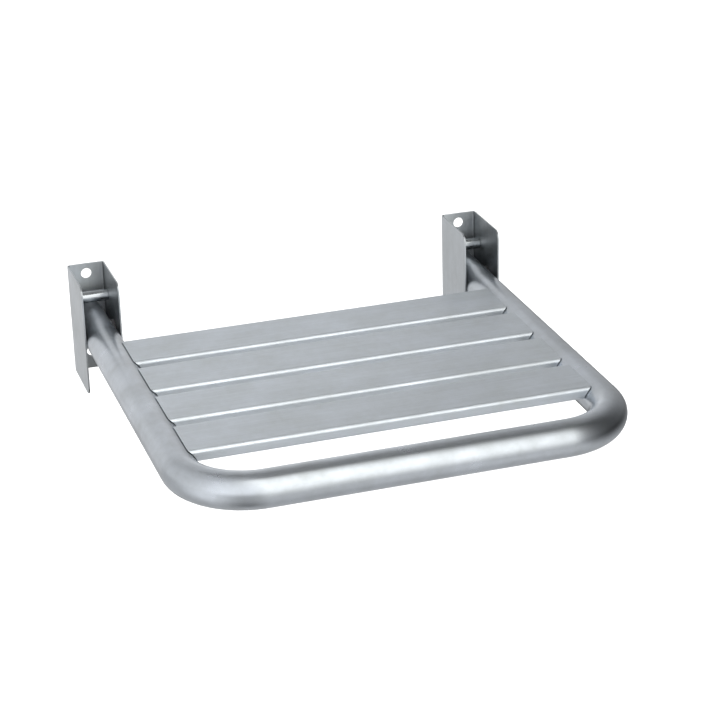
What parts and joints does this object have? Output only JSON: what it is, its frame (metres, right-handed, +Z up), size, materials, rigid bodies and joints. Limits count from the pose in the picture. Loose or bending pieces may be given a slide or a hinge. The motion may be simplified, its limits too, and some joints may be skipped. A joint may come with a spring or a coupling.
{
  "type": "fold down wall seat",
  "caption": "Wall seat that folds up: flat slats in a bent round tube frame, hinged in two folded channel brackets with a round stop bar across each.",
  "frame": {"origin": "on the wall, in the middle of the rectangle of the four fixing holes", "axes": "+X runs along the wall to the right as someone facing the wall sees it, +Y points into the wall, +Z is up; the seat is down and reaches out along -Y"},
  "size_m": [0.4478, 0.469, 0.1165],
  "materials": {
    "satin_steel": "satin brushed stainless steel, grained along the tube and the slats",
    "bracket_steel": "satin brushed stainless steel sheet, grained upright",
    "polished_steel": "polished stainless steel bar",
    "bush_plastic": "black moulded plastic"
  },
  "bodies": {
    "wall_brackets": {"bracket_left": "bracket_steel", "bracket_right": "bracket_steel", "stop_bar_left": "polished_steel", "stop_bar_right": "polished_steel", "pivot_pin_left": "bracket_steel", "pivot_pin_right": "bracket_steel"},
    "seat": {"frame_tube": "satin_steel", "slat_1": "satin_steel", "slat_2": "satin_steel", "slat_3": "satin_steel", "slat_4": "satin_steel", "pivot_sleeve_left": "satin_steel", "pivot_sleeve_right": "satin_steel", "bush_left_outer": "bush_plastic", "bush_left_inner": "bush_plastic", "bush_right_inner": "bush_plastic", "bush_right_outer": "bush_plastic"}
  },
  "joints": [
    {"name": "fold", "type": "hinge", "parent": "wall_brackets", "child": "seat", "pos_m": [0, -0.0411, -0.0056], "axis": [-1, 0, 0], "range_deg": [0, 91]}
  ]
}
